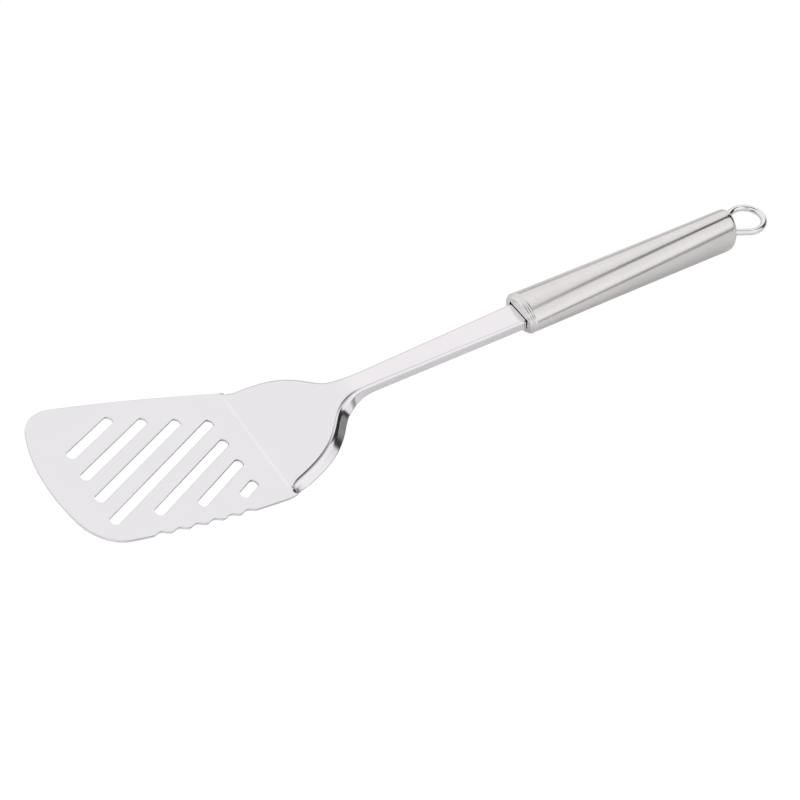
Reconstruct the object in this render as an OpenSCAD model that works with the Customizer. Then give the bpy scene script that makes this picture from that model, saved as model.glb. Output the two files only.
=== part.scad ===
// Slotted, serrated fish spatula in stainless sheet, with a hollow twisted-oval handle.
//
// Tool frame: the top face of the flat blade lies in z = 0, the shoulder crease is the line x = 0,
// the handle is towards +X, the serrated edge towards -Y. The finished tool is then tipped back
// until it lies on the skirts of its ramp and the rear end of its handle, with the table at z = 0.

/* [Sheet] */
// Thickness of the blade and shank sheet
sheet_t = 1; // [0.8:0.1:1.4]

/* [Blade] */
// Length of the flat blade, front edge to shoulder crease
blade_len = 104.1; // [98:0.1:120]
// Radius of the bowed front edge
front_r = 83; // [70:1:120]
// How far the tip of the front edge lies to the serrated side of the axis
front_shift = 14.6; // [10:0.1:18]
// Radius of the front corner on the plain side
far_corner_r = 20.8; // [10:0.1:24]
// Radius of the front corner on the serrated side
near_corner_r = 16.5; // [8:0.1:20]
// Half width across the shoulder
shoulder_half = 31.8; // [30:0.1:34]
// Length of the flat tabs behind the crease
tab_len = 3.7; // [2:0.1:5]
// Width of the slit that ends each tab
slit_w = 0.4; // [0.2:0.1:0.8]
// Depth of that slit from the side
slit_depth = 2.6; // [1:0.1:3]
// Radius of the plain edge
far_edge_r = 1000; // [700:10:1500]
// Radius of the serrated edge
near_edge_r = 600; // [500:10:800]
// Angle of the serrated edge where its curve runs out
near_edge_lean = 13.9; // [12:0.1:15]
// Radius that rounds the serrated edge into the tab
tab_round_r = 25; // [15:1:40]

/* [Serration] */
// Number of scallops
scallops = 6; // [3:1:7]
// Length of one scallop
scallop_pitch = 8.95; // [6:0.05:9.2]
// Depth of one scallop
scallop_depth = 1.35; // [0.5:0.05:2]
// Distance of the last scallop from the crease
scallop_start = 19.6; // [16:0.1:24]

/* [Slots] */
// Number of slots
slots = 7; // [4:1:8]
// Distance between the slots, square to them
slot_pitch = 10.28; // [8:0.01:12]
// Width of a slot
slot_w = 4.1; // [3:0.1:5]
// Angle of the slots to the tool's axis
slot_angle = 35.4; // [30:0.1:40]
// Distance from the crease to the slots' rear ends
slot_rear = 12.7; // [10:0.1:20]
// Distance from the crease to the slots' front ends
slot_front = 85.6; // [70:0.1:88]

/* [Ramp and shank] */
// Radius of the crease between blade and ramp
crease_r = 5; // [3:0.5:8]
// Angle of the ramp to the blade
ramp_angle = 38.5; // [34:0.1:42]
// Straight length of the ramp
ramp_len = 40; // [36:0.1:46]
// Radius of the bend from ramp to shank
neck_r = 36.7; // [20:0.1:50]
// Angle of the shank to the blade
shank_angle = 25.8; // [22:0.1:30]
// Length of the shank, neck bend to front cap
shank_len = 81; // [60:0.5:110]
// Half width of the ramp's flat face at the crease
ramp_half = 27.4; // [26:0.1:28.5]
// Half width of the shank's flat face at the neck
neck_half = 3.4; // [3:0.1:4.5]
// Half width of the shank's flat face at the handle
tang_half = 4.9; // [3.5:0.1:5.2]
// Outside radius of the ramp's turned-down edges
skirt_r = 2.8; // [1.6:0.1:3.2]
// Width of the ramp's skirt, below its bend
skirt_len = 3.6; // [3:0.1:5]
// Angle that the skirt is turned down
skirt_turn = 56; // [50:1:70]
// Outside radius of the shank's turned-down edges
flange_r = 1.5; // [1.3:0.1:2]
// Width of the shank's flange, below its bend
flange_len = 2.9; // [2:0.1:3.5]
// Angle that the shank's flange is turned down
flange_turn = 84; // [75:1:90]
// Length of the tang behind the front cap's middle
tang_len = 14; // [8:0.5:30]

/* [Handle] */
// Angle of the handle to the blade
handle_angle = 24.35; // [20:0.05:28]
// Height of the shank's top face above the handle's axis, at the front cap
tang_rise = 1.65; // [0.5:0.05:2]
// Length of the handle, middle of the front cap to rear end
handle_len = 111.1; // [90:0.1:130]
// Wall of the handle tube
tube_wall = 0.7; // [0.5:0.1:1]
// Half width of the tube's oval front end
front_half_w = 10.8; // [10.2:0.1:12]
// Half height of the tube's oval front end
front_half_h = 7.35; // [7:0.05:8.5]
// Half width of the tube's oval rear end
rear_half_w = 8.1; // [7.8:0.1:10]
// Half height of the tube's oval rear end
rear_half_h = 10.9; // [9:0.1:12]
// Rounding of the tube's rear edge
rear_round = 2.6; // [1.2:0.1:2.8]

/* [Caps] */
// Length of each of the front cap's two beads
bead_len = 1; // [0.8:0.1:1.5]
// How far the beads stand proud of the tube
bead_proud = 0.15; // [0:0.05:0.4]
// Depth of the groove between the beads
groove_depth = 0.25; // [0.1:0.05:0.4]
// How much less the front bead's half axes are than the tube's
nose_inset = 0.6; // [0.3:0.1:1]
// Thickness of the caps' end walls
cap_wall = 1.2; // [0.8:0.1:1.5]
// Length of the caps' spigots inside the tube
spigot_len = 5; // [3:0.5:10]
// Clearance between the shank and the front cap's slot
slot_clearance = 0.25; // [0.1:0.05:0.4]
// Opening left over the shank in the cap's slot
slot_headroom = 0.55; // [0.3:0.05:0.8]
// Leg length of the weld beads inside the handle
weld_leg = 1.2; // [0.8:0.1:1.6]

/* [Hanging loop] */
// Diameter of the loop's wire
wire_d = 3; // [2:0.1:3.2]
// Radius of the loop's round end, to the wire's middle
loop_r = 8; // [7.4:0.1:10]
// Angle by which the loop's legs spread
leg_angle = 27.2; // [25:0.1:34]
// Radius of the bend between foot and leg, to the wire's middle
foot_bend = 1.8; // [1.6:0.1:2.5]
// Half distance between the loop's feet
foot_half = 3.6; // [3.2:0.1:4]
// Height of the loop above the handle's axis
loop_rise = 0.9; // [0:0.1:1.2]
// Depth of the feet below the rear cap's face
foot_depth = 3; // [2:0.1:6]
// Clearance of the feet in their holes
foot_clearance = 0.05; // [0.02:0.01:0.1]

/* [Hidden] */
$fn = 64;

steel_brushed = [0.80, 0.80, 0.81];
steel_polished = [0.88, 0.88, 0.89];
steel_weld = [0.62, 0.62, 0.60];

// Overlap that lets the ramp and the blade run together as one sheet
join_len = 1;
// How far a cutting solid runs past the faces it cuts
past = 1;
// Step that keeps two rings of a skin from falling together
ring_step = 0.01;
// Where the serrated edge's curve runs out: in front of the crease, and beyond the shoulder
near_run_out = [2.2, 2.9];
// Shape of a bite: how far its deepest point lies towards the front, and how round its tips are
bite_lead = 0.92;
bite_round = 1.7;
// Slope of the lines that end the slots at the plain and at the serrated edge
slot_far_slope = -0.115;
slot_near_slope = 0.128;
// Distance of those lines from the axis, taken at the crease
slot_far_y = 11.9;
slot_near_y = -27.1;
// Offset along Y of the first slot's centre line, taken at the crease
slot_first_y = 60.6;
// Distance of the plain edge's widest point behind the crease
far_edge_back = 13.3;
// Distance along the ramp over which its skirt turns down
skirt_run_in = 8.2;
// Distances along the sheet between which the skirt becomes the shank's flange
flange_from = 40;
flange_to = 57;
// Control lengths of the shoulder curve, all along the sheet, and its drop at the crease
shoulder_pull = 40.7;
shoulder_drop = 4.7;
neck_pull = 26.7;
shoulder_end = 51.7;

// The loop's legs run tangent into its round end
wire_r = wire_d / 2;
loop_at = handle_len - tube_wall;
loop_reach = (loop_r + foot_bend - (foot_half + foot_bend) * cos(leg_angle)) / sin(leg_angle);

// Plane geometry

function unit(v) = v / norm(v);
function blend(u) = let (c = max(0, min(1, u))) c * c * (3 - 2 * c);
function mix(a, b, u) = a + (b - a) * u;
function polar(centre, r, a) = centre + r * [cos(a), sin(a)];
function direction(from, to) = atan2(to[1] - from[1], to[0] - from[0]);
function arc(centre, r, a, b, n) = [for (i = [0:n]) polar(centre, r, mix(a, b, i / n))];

// Meeting point of two circles, on the left of the line from the first centre to the second
function circles_meet(c1, r1, c2, r2) =
    let (d = norm(c2 - c1), u = (c2 - c1) / d, a = (d * d + r1 * r1 - r2 * r2) / (2 * d))
    c1 + a * u + sqrt(r1 * r1 - a * a) * [-u[1], u[0]];

// Blade outline: four circles, with the two front corners tangent to their neighbours

front_c = [front_r - blade_len, -front_shift];
far_c = [far_edge_back, shoulder_half - far_edge_r];
far_corner_c = circles_meet(far_c, far_edge_r - far_corner_r, front_c, front_r - far_corner_r);
near_turn = [-near_run_out[0], -shoulder_half - near_run_out[1]];
near_c = near_turn + near_edge_r * [-sin(near_edge_lean), cos(near_edge_lean)];
near_corner_c = circles_meet(front_c, front_r - near_corner_r, near_c, near_edge_r - near_corner_r);
tab_c = near_turn + tab_round_r * [-sin(near_edge_lean), cos(near_edge_lean)];

function near_edge_y(x) = near_c[1] - sqrt(near_edge_r * near_edge_r - pow(x - near_c[0], 2));
function tab_edge_y(x) = tab_c[1] - sqrt(tab_round_r * tab_round_r - pow(x - tab_c[0], 2));

// The serrated edge: each scallop is a rounded bite between two rounded tips
scallop_x0 = -scallop_start - scallops * scallop_pitch;
function bite(x) =
    let (u = (x - scallop_x0) / scallop_pitch)
    u <= 0 || u >= scallops ? 0 : scallop_depth * pow(sin(180 * pow(u - floor(u), bite_lead)), bite_round);

near_corner_end = near_corner_c[0] + near_corner_r * cos(direction(near_c, near_corner_c));
bite_steps = 12;
serration = [
    for (i = [0:scallops * bite_steps])
    let (x = scallop_x0 + i * scallop_pitch / bite_steps)
    [x, near_edge_y(x) + bite(x)]
];
near_edge_front = [
    for (i = [1:5])
    let (x = mix(near_corner_end, scallop_x0, i / 6))
    [x, near_edge_y(x)]
];
near_edge_rear = [
    for (i = [1:6])
    let (x = mix(-scallop_start, near_turn[0], i / 6))
    [x, near_edge_y(x)]
];
tab_edge = [
    for (i = [1:6])
    let (x = mix(near_turn[0], tab_len, i / 6))
    [x, tab_edge_y(x)]
];

blade_outline = concat(
    arc(far_c, far_edge_r, acos((tab_len - far_edge_back) / far_edge_r), direction(far_c, far_corner_c), 16),
    arc(far_corner_c, far_corner_r, direction(far_c, far_corner_c), direction(front_c, far_corner_c), 12),
    arc(front_c, front_r, direction(front_c, far_corner_c), 360 + direction(front_c, near_corner_c), 24),
    arc(near_corner_c, near_corner_r, direction(front_c, near_corner_c), direction(near_c, near_corner_c), 12),
    near_edge_front, serration, near_edge_rear, tab_edge,
    [[tab_len, slit_depth - shoulder_half - join_len], [0, join_len - ramp_half]],
    [[0, ramp_half - join_len], [tab_len, shoulder_half - slit_depth + join_len]]
);

// Slots end on a line square to the axis or on a line along the blade's edge

slot_slope = tan(slot_angle);
slot_step = slot_pitch / cos(slot_angle);
function slot_line(k) = slot_first_y - k * slot_step;
function slot_line_x(k, y0, slope) = (y0 - slot_line(k)) / (slot_slope - slope);
function slot_front_x(k) = max(-slot_front, slot_line_x(k, slot_near_y, slot_near_slope));
function slot_rear_x(k) = min(-slot_rear, slot_line_x(k, slot_far_y, slot_far_slope));
function slot_point(k, x) = [x, slot_line(k) + x * slot_slope];

// The sheet's middle line, seen from the side: flat, crease, ramp, neck bend, shank.
// It gives [x, z, angle] of the top face at a distance s along the sheet behind the crease.

crease_end = crease_r * ramp_angle * PI / 180;
ramp_end = crease_end + ramp_len;
neck_end = ramp_end + neck_r * (ramp_angle - shank_angle) * PI / 180;
cap_at = neck_end + shank_len;
tang_end = cap_at + tang_len;

function along(from, d) = [from[0] + d * cos(from[2]), from[1] + d * sin(from[2]), from[2]];
function spine(s) =
    s <= 0 ? [s, 0, 0]
    : s <= crease_end ? let (a = s / crease_r * 180 / PI) [crease_r * sin(a), crease_r * (1 - cos(a)), a]
    : s <= ramp_end ? along(spine(crease_end), s - crease_end)
    : s <= neck_end ?
        let (from = spine(ramp_end), a = ramp_angle - (s - ramp_end) / neck_r * 180 / PI)
        [from[0] + neck_r * (sin(ramp_angle) - sin(a)), from[1] - neck_r * (cos(ramp_angle) - cos(a)), a]
    : along(spine(neck_end), s - neck_end);

// A point on the sheet: s along it, y across it, d below its top face
function on_sheet(s, y, d) = let (p = spine(s)) [p[0] + d * sin(p[2]), y, p[1] - d * cos(p[2])];

// Edge of the flat top face in the sheet's own plane, as [s, y, outward normal]:
// a smooth shoulder from the crease to the neck, then the nearly straight shank

shoulder_ctrl = [
    [0, ramp_half], [shoulder_pull, ramp_half - shoulder_drop],
    [neck_pull, neck_half], [shoulder_end, neck_half]
];
function bezier(p, t) = pow(1 - t, 3) * p[0] + 3 * t * pow(1 - t, 2) * p[1]
    + 3 * t * t * (1 - t) * p[2] + pow(t, 3) * p[3];
function bezier_way(p, t) = pow(1 - t, 2) * (p[1] - p[0]) + 2 * t * (1 - t) * (p[2] - p[1])
    + t * t * (p[3] - p[2]);
function outward(way) = let (w = unit(way)) [-w[1], w[0]];

// The stations lie closer together at the crease, where the skirt turns down
shoulder_steps = 30;
station_bias = 1.3;
shoulder_edge = [
    for (i = [1:shoulder_steps])
    let (t = pow(i / shoulder_steps, station_bias))
    concat(bezier(shoulder_ctrl, t), outward(bezier_way(shoulder_ctrl, t)))
];
shank_edge = [
    for (i = [1:12])
    let (s = mix(shoulder_end, tang_end, i / 12))
    [s, mix(neck_half, tang_half, (s - shoulder_end) / (cap_at - shoulder_end)), 0, 1]
];
channel_edge = concat([[-join_len, ramp_half, 0, 1], [0, ramp_half, 0, 1]], shoulder_edge, shank_edge);

// Turned-down edge at distance s: its angle, its radius, and its width below the bend
function flange_share(s) = blend((s - flange_from) / (flange_to - flange_from));
function edge_turn(s) = mix(skirt_turn * blend(s / skirt_run_in), flange_turn, flange_share(s));
function edge_r(s) = mix(skirt_r, flange_r, flange_share(s));
function edge_len(s) = mix(
    mix(shoulder_half - ramp_half, skirt_len, blend(s / skirt_run_in)), flange_len, flange_share(s)
);

// One side of the channel's section as [outwards, down], on the outer face or inside by depth.
// Its last point is the flange's lower edge.
bend_steps = 6;
function edge_profile(s, depth) =
    let (turn = edge_turn(s), len = edge_len(s), r = edge_r(s) - depth)
    concat(
        [for (k = [0:bend_steps]) let (a = turn * k / bend_steps) [r * sin(a), edge_r(s) - r * cos(a)]],
        [[r * sin(turn) + len * cos(turn), edge_r(s) - r * cos(turn) + len * sin(turn)]]
    );
function edge_row(e, side, depth) = [
    for (p = edge_profile(e[0], depth))
    on_sheet(e[0] + e[2] * p[0], side * (e[1] + e[3] * p[0]), p[1])
];
function reversed(list) = [for (i = [len(list) - 1:-1:0]) list[i]];
function sheet_row(e, depth) = concat(reversed(edge_row(e, -1, depth)), edge_row(e, 1, depth));

// Closed skin through rings of equal length: side walls between the rings and two end faces.
// Each end face is a strip, because a ring runs out along one face and back along the other.
function ring_walls(rings, n) = [
    for (i = [0:rings - 2], k = [0:n - 1])
    let (a = i * n + k, b = i * n + (k + 1) % n)
    each [[a, b, b + n], [a, b + n, a + n]]
];
function strip_end(first, n, flip) = [
    for (k = [0:n / 2 - 2])
    let (a = first + k, b = first + k + 1, c = first + n - 2 - k, d = first + n - 1 - k)
    each (flip ? [[a, c, b], [a, d, c]] : [[a, b, c], [a, c, d]])
];

module channel() {
    rings = [for (e = channel_edge) concat(sheet_row(e, 0), reversed(sheet_row(e, sheet_t)))];
    n = len(rings[0]);
    polyhedron(
        points = [for (ring = rings) each ring],
        faces = concat(
            ring_walls(len(rings), n),
            strip_end(0, n, true),
            strip_end((len(rings) - 1) * n, n, false)
        )
    );
}

module slot(k) {
    from = slot_point(k, slot_front_x(k));
    to = slot_point(k, slot_rear_x(k));
    translate([from[0], from[1], -2 * sheet_t])
        rotate([0, 0, slot_angle])
            linear_extrude(3 * sheet_t) {
                circle(d = slot_w);
                translate([0, -slot_w / 2]) square([norm(to - from), slot_w]);
                translate([norm(to - from), 0]) circle(d = slot_w);
            }
}

// Handle frame: x along the handle from the front cap's middle, z up through the tang

handle_from = let (p = spine(cap_at)) [p[0] + tang_rise * sin(handle_angle), p[1] - tang_rise * cos(handle_angle)];
tube_at = bead_len;
curl_at = handle_len - rear_round;
function in_handle(x, z) = handle_from + [x * cos(handle_angle) - z * sin(handle_angle),
    x * sin(handle_angle) + z * cos(handle_angle)];

// Rest pose: the table touches the lower edge of the skirts and the tube's rounded rear edge

skirt_feet = [
    for (e = channel_edge)
    let (p = edge_profile(e[0], sheet_t)[bend_steps + 1], q = on_sheet(e[0] + e[2] * p[0], 0, p[1]))
    [q[0], q[2]]
];
rear_rest = in_handle(curl_at, rear_round - rear_half_h);
function lean_on(p) = direction(p, rear_rest) - asin(rear_round / norm(rear_rest - p));
rest_tilt = max([for (p = concat(skirt_feet, [[tab_len, -sheet_t]])) lean_on(p)]);
function rest_x(p) = p[0] * cos(rest_tilt) + p[1] * sin(rest_tilt);
function rest_z(p) = p[1] * cos(rest_tilt) - p[0] * sin(rest_tilt);

rest_front_x = rest_x([-blade_len, -sheet_t]);
rest_rear_x = rest_x(in_handle(loop_at + loop_reach, loop_rise))
    + loop_r * cos(handle_angle - rest_tilt) + wire_r;
blade_y = [for (p = blade_outline) p[1]];
middle = [(rest_front_x + rest_rear_x) / 2, (min(blade_y) + max(blade_y)) / 2, rest_z(rear_rest) - rear_round];

module at_rest() translate(-middle) rotate([0, rest_tilt, 0]) children();
module at_handle() at_rest() translate([handle_from[0], 0, handle_from[1]]) rotate([0, -handle_angle, 0]) children();

// Oval loft: a skin through ellipses, each given as [x, half width, half height]

oval_sides = 72;
function oval_ring(r) = [
    for (k = [0:oval_sides - 1])
    let (a = 360 * k / oval_sides)
    [r[0], r[1] * cos(a), r[2] * sin(a)]
];
module oval_loft(rings) {
    points = [for (r = rings) each oval_ring(r)];
    last = (len(rings) - 1) * oval_sides;
    polyhedron(
        points = points,
        faces = concat(
            [for (f = ring_walls(len(rings), oval_sides)) [f[0], f[2], f[1]]],
            [[for (k = [0:oval_sides - 1]) k]],
            [[for (k = [oval_sides - 1:-1:0]) last + k]]
        )
    );
}
// Half width and half height of the tube's outside at x, less an inset
function tube_oval(x, inset) =
    let (u = (x - tube_at) / (curl_at - tube_at))
    [x, mix(front_half_w, rear_half_w, u) - inset, mix(front_half_h, rear_half_h, u) - inset];

// The tube's straight part and its curled rear edge, on the outer face or inside by depth
tube_steps = 10;
function tube_rings(first, depth) = [for (i = [first:tube_steps - 1])
    tube_oval(mix(tube_at, curl_at, i / tube_steps), depth)];
function curl_rings(depth) = [
    for (a = [0:10:90])
    let (r = rear_round - depth, in = depth + r * (1 - cos(a)))
    [curl_at + r * sin(a), rear_half_w - in, rear_half_h - in]
];

// The shank's section where it passes the front cap, as [y, z] in the handle's frame

tang_lean = shank_angle - handle_angle;
function tang_top(x) = tang_rise + x * tan(tang_lean);
cap_face_at = -bead_len;
cap_inner_at = cap_face_at + cap_wall;
slot_half = tang_half + flange_r * sin(flange_turn) + flange_len * cos(flange_turn) + slot_clearance;
slot_drop = flange_r * (1 - cos(flange_turn)) + flange_len * sin(flange_turn) + slot_clearance;

// Pieces

module blade_and_shank() color(steel_brushed) at_rest() difference() {
    union() {
        difference() {
            translate([0, 0, -sheet_t]) linear_extrude(sheet_t) polygon(blade_outline);
            for (k = [0:slots - 1])
                if (slot_rear_x(k) - slot_front_x(k) > slot_w / 2) slot(k);
        }
        channel();
    }
    for (side = [-1, 1])
        translate([tab_len - slit_w / 2, side * (shoulder_half - slit_depth), -2 * sheet_t])
            mirror([0, side < 0 ? 1 : 0, 0])
                cube([slit_w, 2 * slit_depth, 4 * sheet_t]);
}

module handle_tube() color(steel_brushed) at_handle() difference() {
    oval_loft(concat(tube_rings(0, 0), curl_rings(0)));
    oval_loft(concat(
        tube_rings(-1, tube_wall),
        curl_rings(tube_wall),
        [[handle_len + past, rear_half_w - rear_round, rear_half_h - rear_round]]
    ));
}

// Bead outline: a half round from x to x + bead_len, rising from the groove round the cap
function bead_rings(x, inset) = [
    for (a = [180:-30:0])
    let (rise = (bead_proud + groove_depth) * sin(a) - groove_depth - inset)
    [x + bead_len / 2 * (1 + cos(a)), front_half_w + rise, front_half_h + rise]
];

module front_cap() color(steel_polished) at_handle() difference() {
    spigot_end = tube_at + spigot_len;
    oval_loft(concat(
        bead_rings(cap_face_at, nose_inset),
        [for (r = bead_rings(0, 0)) if (r[0] > ring_step) r],
        [tube_oval(tube_at + ring_step, tube_wall), tube_oval(spigot_end, tube_wall)]
    ));
    oval_loft([
        tube_oval(cap_inner_at, tube_wall + cap_wall),
        tube_oval(spigot_end + past, tube_wall + cap_wall)
    ]);
    translate([0, 0, tang_rise])
        rotate([0, -tang_lean, 0])
            translate([-2 * bead_len, -slot_half, -slot_drop])
                cube([4 * bead_len, 2 * slot_half, slot_drop + slot_headroom]);
}

module rear_cap() color(steel_brushed) at_handle() difference() {
    oval_loft(concat([tube_oval(curl_at - spigot_len, tube_wall)], curl_rings(tube_wall)));
    oval_loft([
        tube_oval(curl_at - spigot_len - past, tube_wall + cap_wall),
        tube_oval(curl_at, tube_wall + cap_wall),
        [loop_at - cap_wall, rear_half_w - rear_round, rear_half_h - rear_round]
    ]);
    for (side = [-1, 1])
        translate([loop_at - 3 * cap_wall, side * foot_half, loop_rise])
            rotate([0, 90, 0]) cylinder(r = wire_r + foot_clearance, h = 4 * cap_wall);
}

// The wire's middle line, as [x, y, heading]: a foot, a bend and a leg, then the round end
wire_side = concat(
    [[-foot_depth, -foot_half, 0]],
    [
        for (i = [0:bend_steps])
        let (a = leg_angle * i / bend_steps)
        [foot_bend * sin(a), -foot_half - foot_bend * (1 - cos(a)), -a]
    ]
);
loop_steps = 48;
wire_path = concat(
    wire_side,
    [
        for (i = [0:loop_steps])
        let (a = mix(-90 - leg_angle, 90 + leg_angle, i / loop_steps))
        [loop_reach + loop_r * cos(a), loop_r * sin(a), a + 90]
    ],
    [for (p = reversed(wire_side)) [p[0], -p[1], 180 - p[2]]]
);
wire_sides = 24;
wire_points = [
    for (p = wire_path, k = [0:wire_sides - 1])
    let (a = 360 * k / wire_sides)
    [p[0] - wire_r * cos(a) * sin(p[2]), p[1] + wire_r * cos(a) * cos(p[2]), wire_r * sin(a)]
];

module hanging_loop() color(steel_polished) at_handle() translate([loop_at, 0, loop_rise]) {
    last = (len(wire_path) - 1) * wire_sides;
    polyhedron(
        points = wire_points,
        faces = concat(
            [for (f = ring_walls(len(wire_path), wire_sides)) [f[0], f[2], f[1]]],
            [[for (k = [0:wire_sides - 1]) k]],
            [[for (k = [wire_sides - 1:-1:0]) last + k]]
        )
    );
}

module shank_weld() color(steel_weld) at_handle() {
    for (below = [0, 1]) {
        start = [cap_inner_at, tang_top(cap_inner_at) - below * sheet_t / cos(tang_lean)];
        finish = [cap_inner_at + weld_leg, tang_top(cap_inner_at + weld_leg) - below * sheet_t / cos(tang_lean)];
        rotate([90, 0, 0])
            translate([0, 0, -tang_half])
                linear_extrude(2 * tang_half)
                    polygon([start, finish, start + [0, (1 - 2 * below) * weld_leg]]);
    }
}

module loop_weld() color(steel_weld) at_handle() {
    for (side = [-1, 1])
        translate([loop_at - cap_wall, side * foot_half, loop_rise])
            rotate([0, -90, 0])
                rotate_extrude() polygon([[wire_r, 0], [wire_r + weld_leg, 0], [wire_r, weld_leg]]);
}

blade_and_shank();
handle_tube();
front_cap();
rear_cap();
hanging_loop();
shank_weld();
loop_weld();
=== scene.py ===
"""A slotted, serrated fish spatula in stainless steel, dressed around its CAD model.

The script follows the tool as it is put together: the camera, the pressed sheet of blade and
shank, the handle tube, its two caps with the welds behind them, the hanging loop, and the studio.
Lengths are in millimetres up to the last step of each piece, which puts it into metres.
"""

import bpy
import numpy as np
from mathutils import Matrix, Vector
from mathutils.geometry import delaunay_2d_cdt


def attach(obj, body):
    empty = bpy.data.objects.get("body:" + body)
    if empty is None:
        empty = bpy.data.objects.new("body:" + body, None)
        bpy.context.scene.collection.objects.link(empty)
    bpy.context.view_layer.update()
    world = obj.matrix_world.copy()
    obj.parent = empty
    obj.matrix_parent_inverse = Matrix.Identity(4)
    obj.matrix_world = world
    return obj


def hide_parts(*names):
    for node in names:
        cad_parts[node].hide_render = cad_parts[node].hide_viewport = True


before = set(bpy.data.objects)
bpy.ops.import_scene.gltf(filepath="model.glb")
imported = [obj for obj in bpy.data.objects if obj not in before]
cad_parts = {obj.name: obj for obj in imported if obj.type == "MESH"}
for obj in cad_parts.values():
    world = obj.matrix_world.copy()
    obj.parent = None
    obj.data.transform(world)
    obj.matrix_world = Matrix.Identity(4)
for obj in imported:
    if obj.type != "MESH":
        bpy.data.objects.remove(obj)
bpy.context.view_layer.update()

# ---------------------------------------------------------------- the tool's own frame
# The blade is pressed flat, so its numbers are easiest from the shoulder crease: x along the
# tool, y across it, z = 0 on the blade's top face. The finished tool lies tipped back on its
# ramp skirts and its rear end, which is the frame of the CAD model.
REST_TILT = np.radians(25.2702)
MIDDLE = np.array([83.756028, -8.64806, -3.76146])


def laid_down(points):
    """Turns points from the blade's frame into the resting frame, about the y axis."""
    x, y, z = np.moveaxis(np.asarray(points, float), -1, 0)
    c, s = np.cos(REST_TILT), np.sin(REST_TILT)
    return np.stack([x * c + z * s, y, z * c - x * s], axis=-1) - MIDDLE


# The camera looks down on the blade from the serrated side, as the photograph does.
CAM_TARGET = Vector((-0.0257078, -0.0127109, 0.018))
CAM_AZIMUTH = np.radians(-122.4583)
CAM_ELEVATION = np.radians(47.2530)
CAM_ROLL = np.radians(1.7558)
CAM_DISTANCE = 0.899306
CAM_LENS, SENSOR_WIDTH = 99.0, 36.0
CLIP_START = 0.05

away = Vector((
    np.cos(CAM_ELEVATION) * np.cos(CAM_AZIMUTH),
    np.cos(CAM_ELEVATION) * np.sin(CAM_AZIMUTH),
    np.sin(CAM_ELEVATION),
))
level_right = away.cross(Vector((0, 0, -1))).normalized()
level_up = away.cross(level_right)
cam_right = level_right * np.cos(CAM_ROLL) + level_up * np.sin(CAM_ROLL)
cam_up = level_up * np.cos(CAM_ROLL) - level_right * np.sin(CAM_ROLL)
camera = bpy.data.objects.new("camera", bpy.data.cameras.new("camera"))
bpy.context.scene.collection.objects.link(camera)
camera.data.lens = CAM_LENS
camera.data.sensor_width = SENSOR_WIDTH
camera.data.clip_start = CLIP_START
camera.matrix_world = Matrix.Translation(CAM_TARGET + away * CAM_DISTANCE) @ Matrix(
    (cam_right, cam_up, away)).transposed().to_4x4()
bpy.context.scene.camera = camera


# ---------------------------------------------------------------- blade and shank
# One pressing of 1 mm stainless sheet: a flat slotted blade with one serrated edge, a ramp with
# turned-down skirts, and a narrow channel that runs on into the handle. It is blanked, its
# edges are tumbled round, and it is bent in one tool. Its faces keep a satin finish.
SHEET, EDGE_ROUND, EDGE_LEAD_IN = 1.0, 0.22, 0.35
SAME_POINT = 1e-4

BLADE_LEN = 104.1
FRONT_R, FRONT_SHIFT = 83.0, 14.6
FAR_CORNER_R, NEAR_CORNER_R = 20.8, 16.5
SHOULDER_HALF = 31.8
FAR_EDGE_R, FAR_EDGE_BACK = 1000.0, 13.3
NEAR_EDGE_R, NEAR_EDGE_LEAN = 600.0, np.radians(13.9)
NEAR_TURN = np.array([-2.2, -SHOULDER_HALF - 2.9])
TAB_ROUND_R = 25.0
SCALLOPS, SCALLOP_PITCH, SCALLOP_DEPTH, SCALLOP_START = 6, 8.95, 1.35, 19.6
BITE_LEAD, BITE_ROUND = 0.92, 1.7

SLOTS, SLOT_PITCH, SLOT_W = 7, 10.28, 4.1
SLOT_ANGLE = np.radians(35.4)
SLOT_REAR, SLOT_FRONT = 12.7, 85.6
SLOT_FAR_SLOPE, SLOT_FAR_Y = -0.115, 11.9
SLOT_NEAR_SLOPE, SLOT_NEAR_Y = 0.128, -27.1
SLOT_FIRST_Y = 60.6

EDGE_STEPS, CORNER_STEPS, SERRATED_POINTS = 70, 40, 420
SLOT_END_STEPS, SLOT_SIDE_POINTS, ROUND_POINTS = 24, 12, 6


def arc(centre, r, a, b, n):
    """n + 1 points on a circle's arc from angle a to angle b, in radians."""
    t = np.linspace(a, b, n + 1)
    return np.asarray(centre) + r * np.stack([np.cos(t), np.sin(t)], axis=-1)


def heading(a, b):
    """The direction from point a to point b, in radians."""
    return np.arctan2(b[1] - a[1], b[0] - a[0])


def circles_meet(c1, r1, c2, r2):
    """Where two circles cross, on the left of the line between their centres."""
    d = np.hypot(*(c2 - c1))
    u = (c2 - c1) / d
    a = (d * d + r1 * r1 - r2 * r2) / (2 * d)
    return c1 + a * u + np.sqrt(r1 * r1 - a * a) * np.array([-u[1], u[0]])


front_c = np.array([FRONT_R - BLADE_LEN, -FRONT_SHIFT])
far_c = np.array([FAR_EDGE_BACK, SHOULDER_HALF - FAR_EDGE_R])
far_corner_c = circles_meet(far_c, FAR_EDGE_R - FAR_CORNER_R, front_c, FRONT_R - FAR_CORNER_R)
lean = np.array([-np.sin(NEAR_EDGE_LEAN), np.cos(NEAR_EDGE_LEAN)])
near_c = NEAR_TURN + NEAR_EDGE_R * lean
tab_c = NEAR_TURN + TAB_ROUND_R * lean
near_corner_c = circles_meet(
    front_c, FRONT_R - NEAR_CORNER_R, near_c, NEAR_EDGE_R - NEAR_CORNER_R)


def far_edge_y(x):
    """The plain edge: a very large circle that is widest just behind the shoulder."""
    return far_c[1] + np.sqrt(FAR_EDGE_R**2 - (x - far_c[0])**2)


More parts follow.
